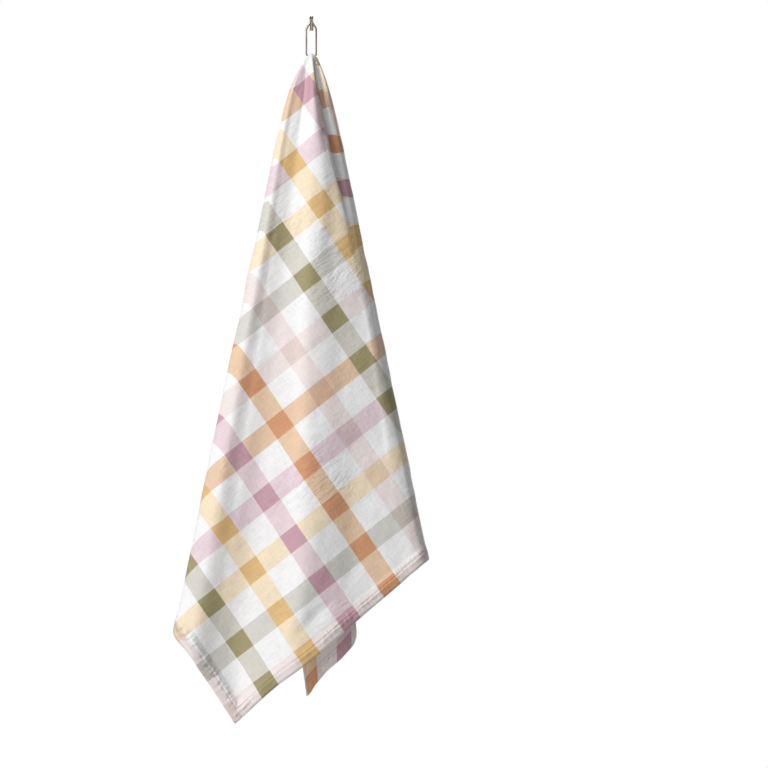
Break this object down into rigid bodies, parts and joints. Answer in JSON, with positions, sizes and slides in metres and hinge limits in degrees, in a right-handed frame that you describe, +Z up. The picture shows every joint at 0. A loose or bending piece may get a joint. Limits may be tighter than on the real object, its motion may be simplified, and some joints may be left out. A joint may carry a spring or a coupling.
{
  "type": "tea towel on wire hook",
  "caption": "Checked cotton tea towel, gathered at one point near a corner and hanging in soft folds from a bent steel wire hook.",
  "frame": {"origin": "underside of the hook's crook, where the hook hangs on a rail", "axes": "+Z up; the towel's front panel faces -Y; +X is to the right of someone who looks at its front"},
  "size_m": [0.2495, 0.0777, 0.7078],
  "materials": {
    "checked_cotton": "plain woven cotton in a soft multicolour check, washed and slightly crinkled",
    "steel_wire": "polished drawn wire"
  },
  "bodies": {
    "root": {"towel_cloth": "checked_cotton", "wire_hook": "steel_wire"}
  },
  "joints": []
}
